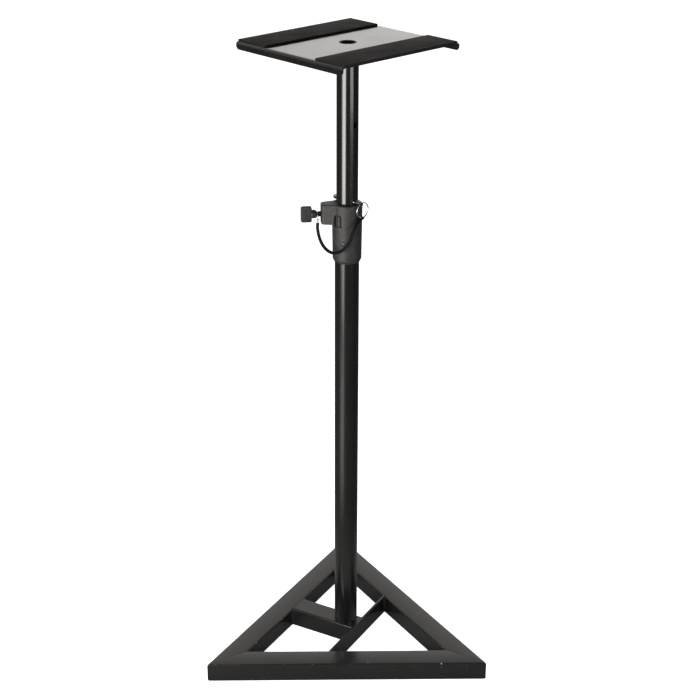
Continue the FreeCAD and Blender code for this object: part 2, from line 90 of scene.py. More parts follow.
studio = {
    "skyLow": 1.3,              # the pale wall behind, near the horizon
    "skyHigh": 0.3,             # the same wall overhead
    "skyFront": 0.05,
    "skyBack": (-0.1, 0.5),     # the wall starts between these depths
    "skyRise": (0.25, 0.9),     # and fades between these heights
    "skyColor": (1.0, 0.97, 0.935, 1.0),
    "floorShown": 0.92,         # the floor's own brightness to the camera
    "floorColor": 0.85,
    "floorMottle": 0.01,
    "floorGrain": (3.0, 2.0, 0.5),
    "floorRough": 0.9,
    "floorBounce": 0.09,        # how much light the floor throws back on the stand
    "nearBounce": 0.20,         # the same between the base's bars
    "nearReach": (0.30, 0.45),
    "cardReach": (0.45, 0.65),  # the card starts between these distances from the pole
    "cardBounce": 1.0,          # the same along a white card laid towards the key light
    "cardTurn": -133.0,
    "cardSpread": 15.0,         # degrees
    "floorReach": 9.0,
    "floorDrop": 0.0005,        # the floor lies this far under the stand
}


def aim(thing, target):
    # a light's -Z looks at the target
    way = Vector(target) - thing.location
    thing.rotation_euler = way.to_track_quat("-Z", "Y").to_euler()


def areaLight(name, place, target, size, power, color):
    lamp = bpy.data.lights.new(name, "AREA")
    lamp.shape = "RECTANGLE"
    lamp.size, lamp.size_y = size
    lamp.energy = power
    lamp.color = color
    thing = bpy.data.objects.new(name, lamp)
    thing.location = place
    aim(thing, target)
    bpy.context.scene.collection.objects.link(thing)


def around(turn, distance, height):
    # a place at a turn about the pole, a distance from it and a height
    return (
        distance * math.cos(math.radians(turn)),
        distance * math.sin(math.radians(turn)),
        height,
    )


def makeCamera():
    pitch = math.radians(view["pitchDown"])
    yaw = math.radians(view["headingRight"])
    forward = Vector(
        (math.sin(yaw) * math.cos(pitch), math.cos(yaw) * math.cos(pitch), -math.sin(pitch))
    )
    level = forward.cross(Vector((0, 0, 1))).normalized()
    upright = level.cross(forward)
    roll = math.radians(view["roll"])
    right = level * math.cos(roll) + upright * math.sin(roll)
    up = upright * math.cos(roll) - level * math.sin(roll)
    lens = bpy.data.cameras.new("mainCamera")
    lens.sensor_width = view["sensor"]
    lens.lens = view["lens"]
    lens.clip_end = view["clipEnd"]
    camera = bpy.data.objects.new("mainCamera", lens)
    bpy.context.scene.collection.objects.link(camera)
    rows = np.eye(4)
    rows[:3, 0], rows[:3, 1], rows[:3, 2] = right, up, -forward
    rows[:3, 3] = view["place"]
    camera.matrix_world = Matrix(rows.tolist())
    bpy.context.scene.camera = camera


makeCamera()
print("camera placed")


class Wire:
    # one output socket; Python operators on it add Math nodes
    def __init__(self, finish, socket):
        self.finish = finish
        self.socket = socket

    def combine(self, operation, first, second):
        return self.finish.node(
            "ShaderNodeMath", {"operation": operation}, {0: first, 1: second}
        )

    def __add__(self, other):
        return self.combine("ADD", self, other)

    def __radd__(self, other):
        return self.combine("ADD", other, self)

    def __sub__(self, other):
        return self.combine("SUBTRACT", self, other)

    def __rsub__(self, other):
        return self.combine("SUBTRACT", other, self)

    def __mul__(self, other):
        return self.combine("MULTIPLY", self, other)

    def __rmul__(self, other):
        return self.combine("MULTIPLY", other, self)

    def largest(self, other):
        return self.combine("MAXIMUM", self, other)


class Finish:
    # the node tree of a material or the world
    def __init__(self, owner, shader="Principled BSDF"):
        owner.use_nodes = True
        self.owner = owner
        self.tree = owner.node_tree
        self.shader = self.tree.nodes[shader]

    def node(self, kind, settings=None, inputs=None, output=0):
        # settings are set first, then the values or wires of its inputs
        made = self.tree.nodes.new(kind)
        for key, value in (settings or {}).items():
            setattr(made, key, value)
        for key, value in (inputs or {}).items():
            self.feed(made.inputs[key], value)
        return Wire(self, made.outputs[output])

    def feed(self, socket, value):
        if isinstance(value, Wire):
            self.tree.links.new(value.socket, socket)
        else:
            socket.default_value = value

    def place(self, scale=(1, 1, 1)):
        # the piece's own position, in metres, stretched per axis
        coords = self.node("ShaderNodeTexCoord", output="Object")
        return self.node("ShaderNodeMapping", {}, {"Vector": coords, "Scale": scale})

    def noise(self, scale, detail=3.0, rough=0.55, stretch=(1, 1, 1)):
        inputs = {
            "Vector": self.place(stretch),
            "Scale": scale,
            "Detail": detail,
            "Roughness": rough,
        }
        return self.node("ShaderNodeTexNoise", {}, inputs)

    def steps(self, wire, low, high, start=0.0, end=1.0):
        # a value that goes from start to end as the wire goes from low to high
        inputs = {0: wire, 1: low, 2: high, 3: start, 4: end}
        return self.node("ShaderNodeMapRange", {"clamp": True}, inputs)

    def spread(self, wire, start=0.0, end=1.0):
        # a value that goes from start to end over the levels a noise mostly takes
        return self.steps(wire, 0.3, 0.7, start, end)

    def cells(self, scale):
        # the distance to the nearest of many scattered points
        inputs = {"Vector": self.place(), "Scale": scale}
        return self.node("ShaderNodeTexVoronoi", {"feature": "F1"}, inputs)

    def mixColor(self, share, first, second):
        settings = {"data_type": "RGBA"}
        return self.node("ShaderNodeMix", settings, {0: share, 6: first, 7: second}, 2)

    def axes(self, vector):
        # the X, Y and Z of a vector as three wires
        first = self.node("ShaderNodeSeparateXYZ", {}, {0: vector})
        return [Wire(self, socket) for socket in first.socket.node.outputs]

    def bump(self, height, distance, strength=1.0, under=None):
        inputs = {"Height": height, "Distance": distance, "Strength": strength}
        if under is not None:
            inputs["Normal"] = under
        return self.node("ShaderNodeBump", {}, inputs)

    def done(self, **sockets):
        for key, value in sockets.items():
            self.feed(self.shader.inputs[socketNames[key]], value)
        return self.owner


socketNames = {
    "color": "Base Color",
    "roughness": "Roughness",
    "metallic": "Metallic",
    "coat": "Coat Weight",
    "coatRoughness": "Coat Roughness",
    "specular": "Specular IOR Level",
    "normal": "Normal",
    "emission": "Emission Color",
    "glow": "Emission Strength",
}


def gray(level, warm=0.0):
    # a near grey; warm lifts red and lowers blue by a share
    return (level * (1 + warm), level, level * (1 - warm), 1.0)


paint = {
    "drift": (9.0, 4.0, 0.6),       # noises: scale, detail, roughness, then any stretch
    "peel": (620.0, 2.0, 0.5),
    "dust": (2600.0, 1.0, 0.5),
    "chips": (210.0, 3.0, 0.65),
    "driftSpan": (0.35, 0.7),       # spans: the noise levels between which a change runs
    "dustSpan": (0.68, 0.78),
    "chipSpan": (0.688, 0.705),
    "dark": gray(0.0095, 0.01),
    "light": gray(0.013, 0.01),
    "dustColor": gray(0.05),
    "chipColor": gray(0.42, 0.02),
    "dustShare": 0.5,
    "dustRough": 0.15,
    "rough": (0.16, 0.26),
    "bump": (0.00004, 0.6),         # depth in metres, strength
    "specular": 0.5,
}


def blackPaint():
    # satin powder coat: orange-peel bumps, slow drift in colour and gloss, dust specks,
    # and chips where edges are marked
    finish = Finish(bpy.data.materials.new("blackPaint"))
    drift = finish.noise(*paint["drift"])
    peel = finish.noise(*paint["peel"])
    dust = finish.noise(*paint["dust"])
    color = finish.mixColor(
        finish.steps(drift, *paint["driftSpan"]), paint["dark"], paint["light"]
    )
    speck = finish.steps(dust, *paint["dustSpan"], 0.0, paint["dustShare"])
    color = finish.mixColor(speck, color, paint["dustColor"])
    edge = finish.node("ShaderNodeAttribute", {"attribute_name": "edge"}, output="Fac")
    chips = finish.steps(finish.noise(*paint["chips"]), *paint["chipSpan"]) * edge
    color = finish.mixColor(chips, color, paint["chipColor"])
    rough = finish.spread(drift, *paint["rough"]) + speck * paint["dustRough"]
    normal = finish.bump(peel, *paint["bump"])
    return finish.done(
        color=color, roughness=rough, normal=normal, specular=paint["specular"]
    )


poleFinish = {
    "lines": (130.0, 3.0, 0.6, (1, 1, 0.02)),
    "drift": (14.0, 3.0, 0.6),
    "peel": (900.0, 2.0, 0.5),
    "rubs": (420.0, 3.0, 0.7, (1, 1, 0.06)),
    "driftSpan": (0.35, 0.65),
    "rubSpan": (0.70, 0.78),
    "patchSpan": (0.5, 0.62),       # scuffs show only where the drift is above this
    "dark": gray(0.006, 0.02),
    "light": gray(0.009, 0.02),
    "scuff": gray(0.05, 0.0),
    "scuffShare": 0.35,
    "scuffRough": 0.3,
    "rough": (0.17, 0.26),
    "lineBump": (0.00004, 0.5),
    "peelBump": (0.00003, 0.4),
    "coat": 0.25,
    "coatRough": 0.08,
}


def polePaint():
    # glossier paint: drawn lines along the tube, small rubbed scuffs and fine peel
    look = poleFinish
    finish = Finish(bpy.data.materials.new("polePaint"))
    lines = finish.noise(*look["lines"])
    drift = finish.noise(*look["drift"])
    peel = finish.noise(*look["peel"])
    rubs = finish.noise(*look["rubs"])
    color = finish.mixColor(
        finish.steps(drift, *look["driftSpan"]), look["dark"], look["light"]
    )
    scuffs = finish.steps(rubs, *look["rubSpan"], 0.0, look["scuffShare"])
    scuffs = scuffs * finish.steps(drift, *look["patchSpan"])
    color = finish.mixColor(scuffs, color, look["scuff"])
    rough = finish.spread(lines, *look["rough"]) + scuffs * look["scuffRough"]
    normal = finish.bump(peel, *look["peelBump"])
    normal = finish.bump(lines, *look["lineBump"], normal)
    return finish.done(
        color=color, roughness=rough, normal=normal,
        coat=look["coat"], coatRoughness=look["coatRough"],
    )


plateFinish = {
    "cloud": (16.0, 4.0, 0.6),
    "peel": (1000.0, 3.0, 0.55),
    "rubs": (130.0, 5.0, 0.75),
    "rubSpan": (0.66, 0.74),
    "dark": gray(0.007, 0.02),
    "light": gray(0.010, 0.02),
    "rubColor": gray(0.06, 0.02),
    "rubShare": 0.3,
    "rubRough": 0.2,
    "rough": (0.15, 0.24),
    "bump": (0.00002, 0.5),
    "coat": 0.28,
    "coatRough": 0.12,
}


def platePaint():
    # the platform's powder coat: finer peel, a slow cloud in colour and gloss, rubbed spots
    look = plateFinish
    finish = Finish(bpy.data.materials.new("platePaint"))
    cloud = finish.noise(*look["cloud"])
    peel = finish.noise(*look["peel"])
    rubs = finish.steps(finish.noise(*look["rubs"]), *look["rubSpan"], 0.0, look["rubShare"])
    color = finish.mixColor(finish.spread(cloud), look["dark"], look["light"])
    color = finish.mixColor(rubs, color, look["rubColor"])
    rough = finish.spread(cloud, *look["rough"]) + rubs * look["rubRough"]
    normal = finish.bump(peel, *look["bump"])
    return finish.done(
        color=color, roughness=rough, normal=normal,
        coat=look["coat"], coatRoughness=look["coatRough"],
    )


collarFinish = {
    "grain": (750.0, 3.0, 0.6),
    "cellScale": 900.0,
    "drift": (190.0, 5.0, 0.7),
    "wornGlintSpan": (0.56, 0.74),        # the grain's tops are painted pale: rubbed wear and painted highlights
    "wornGlintShare": 0.55,
    "wornGlintColor": gray(0.085, 0.01),
    "dark": gray(0.010),
    "light": gray(0.034),
    "rough": (0.42, 0.62),
    "grainShare": 0.7,
    "cellShare": 0.5,
    "bump": (0.0005, 0.6),
    "specular": 0.38,
}


def grainedPlastic():
    # moulded collar: fine leather-like grain, its tops painted pale as rubbed wear and painted
    # highlights
    look = collarFinish
    finish = Finish(bpy.data.materials.new("grainedPlastic"))
    grain = finish.noise(*look["grain"])
    cells = finish.cells(look["cellScale"])
    drift = finish.noise(*look["drift"])
    color = finish.mixColor(finish.spread(drift), look["dark"], look["light"])
    # painted highlights on the grain's tops, together with rubbed wear
    wornGlints = finish.steps(grain, *look["wornGlintSpan"], 0.0, look["wornGlintShare"])
    color = finish.mixColor(wornGlints, color, look["wornGlintColor"])
    rough = finish.spread(grain, *look["rough"])
    height = grain * look["grainShare"] + cells * look["cellShare"]
    normal = finish.bump(height, *look["bump"])
    return finish.done(color=color, roughness=rough, normal=normal, specular=look["specular"])


knobFinish = {
    "drift": (60.0, 3.0, 0.55),
    "grain": (1800.0, 2.0, 0.5),
    "dark": gray(0.015),
    "light": gray(0.024),
    "rough": (0.48, 0.6),
    "bump": (0.00012, 0.4),
    "specular": 0.35,
}


def knobPlastic():
    # smooth moulded grip with faint flow marks
    look = knobFinish
    finish = Finish(bpy.data.materials.new("knobPlastic"))
    drift = finish.noise(*look["drift"])
    grain = finish.noise(*look["grain"])
    color = finish.mixColor(finish.spread(drift), look["dark"], look["light"])
    rough = finish.spread(drift, *look["rough"])
    normal = finish.bump(grain, *look["bump"])
    return finish.done(color=color, roughness=rough, normal=normal, specular=look["specular"])


chrome = {
    "lines": (900.0, 4.0, 0.7, (1, 1, 0.25)),
    "stain": (240.0, 3.0, 0.6),
    "stainSpan": (0.45, 0.7),
    "bright": gray(0.56, 0.03),
    "stained": gray(0.38, 0.06),
    "roughSpan": (0.3, 0.75),
    "rough": (0.07, 0.2),
    "bump": (0.00002, 0.4),
}


def chromePlate():
    # bright plate with fine wear lines and a slightly warm tone
    finish = Finish(bpy.data.materials.new("chromePlate"))
    lines = finish.noise(*chrome["lines"])
    stain = finish.noise(*chrome["stain"])
    color = finish.mixColor(
        finish.steps(stain, *chrome["stainSpan"]), chrome["bright"], chrome["stained"]
    )
    rough = finish.steps(lines, *chrome["roughSpan"], *chrome["rough"])
    normal = finish.bump(lines, *chrome["bump"])
    return finish.done(color=color, roughness=rough, metallic=1.0, normal=normal)


zinc = {
    "cloud": (150.0, 4.0, 0.6),
    "lines": (1500.0, 3.0, 0.6),
    "cloudSpan": (0.35, 0.65),
    "dark": gray(0.52, 0.02),
    "light": gray(0.66, -0.02),
    "rough": (0.28, 0.42),
    "bump": (0.00003, 0.4),
}


def zincPlate():
    # dull zinc with cloudy passivation
    finish = Finish(bpy.data.materials.new("zincPlate"))
    cloud = finish.noise(*zinc["cloud"])
    lines = finish.noise(*zinc["lines"])
    color = finish.mixColor(finish.steps(cloud, *zinc["cloudSpan"]), zinc["dark"], zinc["light"])
    rough = finish.spread(cloud, *zinc["rough"])
    normal = finish.bump(lines, *zinc["bump"])
    return finish.done(color=color, roughness=rough, metallic=1.0, normal=normal)


screwFinish = {
    "wear": (900.0, 4.0, 0.65),
    "wearSpan": (0.58, 0.72),
    "dark": gray(0.014),
    "worn": gray(0.05, 0.03),
    "rough": (0.25, 0.42),
    "bump": (0.00004, 0.5),
    "metallic": 0.3,
    "specular": 0.35,
}


def blackenedSteel():
    # oiled black screw heads with worn crests
    look = screwFinish
    finish = Finish(bpy.data.materials.new("blackenedSteel"))
    wear = finish.noise(*look["wear"])
    color = finish.mixColor(finish.steps(wear, *look["wearSpan"]), look["dark"], look["worn"])
    rough = finish.spread(wear, *look["rough"])
    normal = finish.bump(wear, *look["bump"])
    return finish.done(
        color=color, roughness=rough, metallic=look["metallic"], normal=normal,
        specular=look["specular"],
    )


rubberFinish = {
    "poreScale": 750.0,
    "cloud": (22.0, 5.0, 0.65),
    "dust": (1900.0, 2.0, 0.5),
    "dustSpan": (0.64, 0.78),
    "dustShare": 0.3,
    "dustColor": gray(0.08, 0.02),
    "dark": gray(0.008, 0.05),
    "light": gray(0.013, 0.06),
    "rough": (0.72, 0.9),
    "bump": (0.0003, 0.5),
    "specular": 0.2,
}


def stripRubber():
    # cellular anti-slip rubber: open pores, pale dust, no gloss
    look = rubberFinish
    finish = Finish(bpy.data.materials.new("stripRubber"))
    pores = finish.cells(look["poreScale"])
    cloud = finish.noise(*look["cloud"])
    dust = finish.noise(*look["dust"])
    color = finish.mixColor(finish.spread(cloud), look["dark"], look["light"])
    specks = finish.steps(dust, *look["dustSpan"], 0.0, look["dustShare"])
    color = finish.mixColor(specks, color, look["dustColor"])
    rough = finish.spread(cloud, *look["rough"])
    normal = finish.bump(pores, *look["bump"])
    return finish.done(color=color, roughness=rough, normal=normal, specular=look["specular"])


nylon = {
    "cloud": (80.0, 3.0, 0.6),
    "grain": (1400.0, 3.0, 0.55),
    "dark": gray(0.03),
    "light": gray(0.045),
    "rough": (0.38, 0.5),
    "bump": (0.00005, 0.4),
}


def plainNylon():
    # black nylon with a waxy sheen
    finish = Finish(bpy.data.materials.new("plainNylon"))
    cloud = finish.noise(*nylon["cloud"])
    color = finish.mixColor(finish.spread(cloud), nylon["dark"], nylon["light"])
    rough = finish.spread(cloud, *nylon["rough"])
    normal = finish.bump(finish.noise(*nylon["grain"]), *nylon["bump"])
    return finish.done(color=color, roughness=rough, normal=normal)


cloth = {
    "ribs": 9000.0,                 # radians per metre along the strap
    "yarns": 11000.0,               # the same across it
    "strapBump": (0.00012, 0.6),
    "strapShadeShare": 0.6,              # of the weave's painted shade in the colour; the rest is fuzz
    "waveScale": 260.0,
    "waveDistortion": 2.0,
    "waveBump": (0.0001, 0.5),
    "waveShadeShare": 0.5,
    "fuzz": (1600.0, 3.0, 0.6),
    "colorSpan": (0.2, 0.9),
    "dark": gray(0.002),
    "light": gray(0.006),
    "rough": (0.5, 0.72),
    "specular": 0.1,
}


def wovenStrap():
    # flat woven strap: ribs across it and yarns along it, from the strap's own UV in metres
    finish = Finish(bpy.data.materials.new("wovenStrap"))
    uv = finish.node("ShaderNodeUVMap", {"uv_map": "strap"})
    along, across, _ = finish.axes(uv)
    ribs = finish.node("ShaderNodeMath", {"operation": "SINE"}, {0: along * cloth["ribs"]})
    yarns = finish.node("ShaderNodeMath", {"operation": "SINE"}, {0: across * cloth["yarns"]})
    weave = ribs * yarns * 0.5 + 0.5
    return dyed(finish, weave, cloth["strapShadeShare"], cloth["strapBump"])


def sewnFabric():
    # the folded strap's end: the same weave seen as fine crossed waves of the piece's position
    finish = Finish(bpy.data.materials.new("sewnFabric"))
    inputs = {
        "Vector": finish.place(),
        "Scale": cloth["waveScale"],
        "Distortion": cloth["waveDistortion"],
    }
    waves = finish.node("ShaderNodeTexWave", {}, inputs)
    return dyed(finish, waves, cloth["waveShadeShare"], cloth["waveBump"])


def dyed(finish, weave, share, bump):
    # near-black yarn with painted shade: darker in the weave's hollows and lighter where it
    # stands up; lighter too in the fuzz
    fuzz = finish.noise(*cloth["fuzz"])
    # painted shade in the weave: darker hollows, lighter raised yarns; the fuzz adds its own
    # tone
    raised = weave * share + fuzz * (1 - share)
    color = finish.mixColor(
        finish.steps(raised, *cloth["colorSpan"]), cloth["dark"], cloth["light"]
    )
    rough = finish.spread(fuzz, *cloth["rough"])
    normal = finish.bump(weave, *bump)
    return finish.done(color=color, roughness=rough, normal=normal, specular=cloth["specular"])


finishes = {
    "black_paint": blackPaint(),
    "pole_paint": polePaint(),
    "plate_paint": platePaint(),
    "collar_plastic": grainedPlastic(),
    "knob_plastic": knobPlastic(),
    "chrome": chromePlate(),
    "zinc_plated_steel": zincPlate(),
    "black_screw_steel": blackenedSteel(),
    "strip_rubber": stripRubber(),
    "nylon": plainNylon(),
    "tether_fabric": wovenStrap(),
    "plain_fabric": sewnFabric(),
}
print("finishes built")


def gridQuads(rows, columns, closeRows=False, closeColumns=False, first=0):
    # quads over a grid of points stored row by row, closed round either way
    i = np.arange(rows if closeRows else rows - 1)[:, None]
    j = np.arange(columns if closeColumns else columns - 1)[None, :]
    i2, j2 = (i + 1) % rows, (j + 1) % columns
    quads = np.stack(
        [i * columns + j, i * columns + j2, i2 * columns + j2, i2 * columns + j], axis=-1
    )
    return quads.reshape(-1, 4) + first


def closedTube(rows):
    # rows of one closed section each, with flat ends
    count, size = rows.shape[:2]
    faces = gridQuads(count, size, closeColumns=True).tolist()
    faces += [list(range(size))[::-1], list(range((count - 1) * size, count * size))]
    return rows.reshape(-1, 3), faces


def turned(points, turn):
    # points turned about the pole's axis, by degrees
    c, s = math.cos(math.radians(turn)), math.sin(math.radians(turn))
    x, y = points[..., 0], points[..., 1]
    return np.stack([c * x - s * y, s * x + c * y, points[..., 2]], axis=-1)


def joined(parts):
    # several (points, faces) pairs as one
    points, faces, start = [], [], 0
    for part, partFaces in parts:
        points.append(part)
        faces += [[index + start for index in face] for face in partFaces]
        start += len(part)
    return np.concatenate(points), faces


def addPiece(name, points, faces, finish, slot, body=None, replaces=(), sharp=35.0):
    # a closed mesh at the origin; shading breaks only at edges sharper than the angle
    mesh = bpy.data.meshes.new(name)
    corners = [list(map(int, face)) for face in faces]
    mesh.from_pydata(np.asarray(points, float).tolist(), [], corners)
    mergeAndTurnOut(mesh)
    mesh.shade_smooth()
    mesh.set_sharp_from_angle(angle=math.radians(sharp))
    piece = bpy.data.objects.new(name, mesh)
    bpy.context.scene.collection.objects.link(piece)
    mesh.materials.append(finishes[finish])
    if body:
        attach(piece, body)
    if replaces:
        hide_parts(*replaces)
    return piece


def mergeAndTurnOut(mesh, gap=1e-7):
    # welds points closer than the gap, in metres, and turns every face outwards
    work = bmesh.new()
    work.from_mesh(mesh)
    bmesh.ops.remove_doubles(work, verts=work.verts, dist=gap)
    bmesh.ops.recalc_face_normals(work, faces=work.faces)
    work.to_mesh(mesh)
    work.free()


def roundedLoop(corners, radius, steps):
    # a closed outline: each corner of a convex polygon becomes an arc of its own radius,
    # swept evenly in angle between the two points where the arc meets the sides
    corners = np.asarray(corners, float)
    radii = np.broadcast_to(radius, len(corners))
    loop = []
    for k, corner in enumerate(corners):
        back = corners[k - 1] - corner
        ahead = corners[(k + 1) % len(corners)] - corner
        back, ahead = back / np.linalg.norm(back), ahead / np.linalg.norm(ahead)
        half = math.acos(np.clip(back @ ahead, -1, 1)) / 2
        middle = (back + ahead) / np.linalg.norm(back + ahead)
        centre = corner + middle * radii[k] / math.sin(half)
        start = corner + back * radii[k] / math.tan(half) - centre
        end = corner + ahead * radii[k] / math.tan(half) - centre
        sweep = math.pi - 2 * half
        share = np.linspace(0, 1, steps + 1)[:, None]
        arc = np.sin((1 - share) * sweep) * start + np.sin(share * sweep) * end
        loop.append(centre + arc / math.sin(sweep))
    return np.concatenate(loop)


def loopNormals(loop):
    # outward unit normals of a counter-clockwise closed outline
    way = np.roll(loop, -1, axis=0) - np.roll(loop, 1, axis=0)
    normal = np.stack([way[:, 1], -way[:, 0]], axis=1)
    return normal / np.linalg.norm(normal, axis=1)[:, None]


def softPrism(loop, low, high, edge, rings=4):
    # an outline raised from low to high; both rims are quarter-round with radius edge
    normals = loopNormals(loop)
    angle = np.linspace(0, math.pi / 2, rings + 1)
    inset = np.concatenate([edge * (1 - np.sin(angle)), edge * (1 - np.cos(angle))])
    height = np.concatenate(
        [low + edge * (1 - np.cos(angle)), high - edge * (1 - np.sin(angle))]
    )
    rows = loop[None] - normals[None] * inset[:, None, None]
    tall = np.broadcast_to(height[:, None, None], rows.shape[:2] + (1,))
    return closedTube(np.concatenate([rows, tall], axis=2))


def lathe(profile, segments=96):
    # (radius, height) points turned about +Z; points on the axis close into poles
    profile = np.asarray(profile, float)
    turn = np.linspace(0, 2 * math.pi, segments, endpoint=False)
    ring = np.stack([np.cos(turn), np.sin(turn)], axis=1)
    flat = profile[:, None, :1] * ring[None]
    tall = np.broadcast_to(profile[:, None, 1:], flat.shape[:2] + (1,))
    points = np.concatenate([flat, tall], axis=2)
    return points.reshape(-1, 3), gridQuads(
        len(profile), segments, closeRows=profile[0, 0] > 0, closeColumns=True
    ).tolist()


def alongX(points, height, start=0.0):
    # a shape made along +Z laid along +X at a height
    return np.stack([points[:, 2] + start, points[:, 1], height - points[:, 0]], axis=1)


def wireRing(majorRadius, wireRadius, segments=96, sides=20):
    # a torus about +X: a wire circle carried round a larger one in the YZ plane
    a = np.linspace(0, 2 * math.pi, segments, endpoint=False)[:, None]
    b = np.linspace(0, 2 * math.pi, sides, endpoint=False)[None, :]
    reach = majorRadius + wireRadius * np.cos(b)
    points = np.stack(
        [wireRadius * np.sin(b) + 0 * a, reach * np.cos(a), reach * np.sin(a)], axis=-1
    )
    return points.reshape(-1, 3), gridQuads(segments, sides, True, True).tolist()


tether = {
    "route": [
        (-47.4, -5.8, 793.6),
        (-48.3, -6.9, 786.6),
        (-47.0, -9.2, 778.9),
        (-45.0, -13.6, 770.4),
        (-40.8, -19.2, 761.8),
        (-33.8, -25.2, 754.0),
        (-23.6, -30.2, 749.4),
        (-12.0, -32.6, 752.8),
        (-3.2, -34.4, 760.0),
        (3.8, -34.6, 771.5),
        (8.0, -33.8, 784.0),
        (11.4, -32.6, 793.5),
        (15.2, -29.0, 801.0),
        (20.0, -23.0, 804.3),
    ],
    "width": 5.4,
    "thickness": 1.4,
    "bodies": [("stand", "guide"), ("guide", "mast"), ("mast", "pin"), ("pin", "ring")],
    "twistStart": 62.0,         # degrees from edge-on at the clamp end
    "twistEnd": 8.0,
    "fade": 1.2,                # above 1, the twist is kept longer
    "heldShare": 0.7,           # of the first piece, which stays by the clamp as the pole rises
    "samples": 241,
    "sides": 28,
    "wideRound": 0.35,          # the section's powers of cosine and sine: 0 is square, 1 round
    "thinRound": 0.8,
    "sharp": 60.0,
}

loopShape = {
    "reach": 4.6 * mm,
    "drop": 1.6 * mm,
    "slope": 0.9 * mm,
    "shift": 2.4 * mm,
    "narrowed": 0.8,
    "samples": 41,
}


def routeLine():
    # the smooth line of the tether, read from a NURBS curve through its route
    curve = bpy.data.curves.new("tetherRoute", "CURVE")
    curve.dimensions = "3D"
    spline = curve.splines.new("NURBS")
    route = np.array(tether["route"]) * mm
    spline.points.add(len(route) - 1)
    spline.points.foreach_set("co", np.c_[route, np.ones(len(route))].ravel())
    spline.order_u = 3
    spline.use_endpoint_u = True
    spline.resolution_u = 24
    holder = bpy.data.objects.new("tetherRoute", curve)
    bpy.context.scene.collection.objects.link(holder)
    mesh = bpy.data.meshes.new_from_object(holder)
    line = np.zeros(len(mesh.vertices) * 3)
    mesh.vertices.foreach_get("co", line)
    bpy.data.objects.remove(holder)
    bpy.data.curves.remove(curve)
    bpy.data.meshes.remove(mesh)
    return line.reshape(-1, 3)


def evenly(line, count):
    # the line again with equal steps along it, and its length
    steps = np.r_[0, np.cumsum(np.linalg.norm(np.diff(line, axis=0), axis=1))]
    wanted = np.linspace(0, steps[-1], count)
    return np.stack([np.interp(wanted, steps, line[:, k]) for k in range(3)], axis=1), steps[-1]


def strapAxes(line):
    # unit vectors along the strap's wide and thin sides; they turn about the line from near
    # edge-on at the clamp to facing outwards, by a twist that falls with a power of the share
    forward = np.gradient(line, axis=0)
    forward /= np.linalg.norm(forward, axis=1)[:, None]
    outward = line * (1, 1, 0)
    outward /= np.linalg.norm(outward, axis=1)[:, None]
    side = np.cross(forward, outward)
    side /= np.linalg.norm(side, axis=1)[:, None]
    face = np.cross(side, forward)
    fade = np.linspace(0, 1, len(line)) ** tether["fade"]
    twist = np.radians(tether["twistStart"] * (1 - fade) + tether["twistEnd"] * fade)
    twist = twist[:, None]
    wide = side * np.cos(twist) + face * np.sin(twist)
    thin = face * np.cos(twist) - side * np.sin(twist)
    return wide, thin


def squared(wave, power):
    # a wave between -1 and 1 with its size raised to a power
    return np.sign(wave) * np.abs(wave) ** power


def makeTether():
    # a rounded flat section carried along the line, in one piece for each pair of bodies
    line, length = evenly(routeLine(), tether["samples"])
    wide, thin = strapAxes(line)
    turn = np.linspace(0, 2 * math.pi, tether["sides"], endpoint=False)
    across = squared(np.cos(turn), tether["wideRound"]) * tether["width"] / 2 * mm
    deep = squared(np.sin(turn), tether["thinRound"]) * tether["thickness"] / 2 * mm
    tube = line[:, None] + wide[:, None] * across[None, :, None]
    tube = tube + thin[:, None] * deep[None, :, None]
    loop = addPiece(
        "tetherLoop", *sewnLoop(across, deep), "plain_fabric", "tether_fabric", "ring",
        sharp=tether["sharp"],
    )
    share = np.linspace(0, 1, len(line))
    cuts = np.linspace(0, len(line) - 1, len(tether["bodies"]) + 1).astype(int)
    for k, (first, second) in enumerate(tether["bodies"]):
        part = slice(cuts[k], cuts[k + 1] + 1)
        piece = addPiece(
            f"tetherStrap{k + 1}", *closedTube(tube[part]), "tether_fabric", "tether_fabric",
            replaces=("pin_tether",), sharp=tether["sharp"],
        )
        strapUv(piece, length, share[part], across)
        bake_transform(piece)
    print("tether made, length", round(length * 1000, 1), "mm")


def sewnLoop(across, deep):
    # the strap's end, folded round the pull ring's lowest wire: a flat closed oval of strap
    # whose wide side lies along the ring's own plane
    low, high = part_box("pin_ring")
    middle = np.array((low + high) / 2)
    angle = math.radians(poleTurn["pin"])
    out = np.array([math.cos(angle), math.sin(angle), 0.0])
    side = np.array([-out[1], out[0], 0.0])
    up = np.array([0, 0, 1])
    turn = np.linspace(0, 2 * math.pi, loopShape["samples"])[:, None]
    centre = middle - up * (high.z - low.z) / 2 - side * loopShape["shift"]
    line = centre + side * np.cos(turn) * loopShape["reach"] + up * (
        np.sin(turn) * loopShape["drop"] + np.cos(turn) * loopShape["slope"]
    )
    away = np.cos(turn) * side / loopShape["reach"] + np.sin(turn) * up / loopShape["drop"]
    away /= np.linalg.norm(away, axis=1)[:, None]
    rows = line[:, None] + out * across[None, :, None] * loopShape["narrowed"]
    return closedTube(rows + away[:, None] * deep[None, :, None])


def strapUv(piece, length, share, across):
    # U runs along the strap and V across it, both in metres
    mesh = piece.data
    layer = mesh.uv_layers.new(name="strap")
    index = np.zeros(len(mesh.loops), int)
    mesh.loops.foreach_get("vertex_index", index)
    size = len(across)
    u = share[np.minimum(index // size, len(share) - 1)] * length
    v = across[index % size]
    layer.data.foreach_set("uv", np.stack([u, v], axis=1).ravel())


makeTether()

bar = {
    "width": 40.0,
    "height": 35.0,
    "wall": 2.0,
    "corner": 3.0,
    "cornerSteps": 6,
    "seamDepth": 0.35,
    "seamWidth": 1.1,
    "seamFall": 1.5,
    "seamRows": [0.0, 0.35, 0.8, 1.4, 2.6, 8.0, 30.0],     # distances from the mitre
    "middleRows": (0.12, 0.88, 14),                        # shares of the length, and a count
    "chipBelow": 3.2,           # paint chips lie from here under the top
    "chipFade": 1.5,
    "chipGap": 0.02,
}


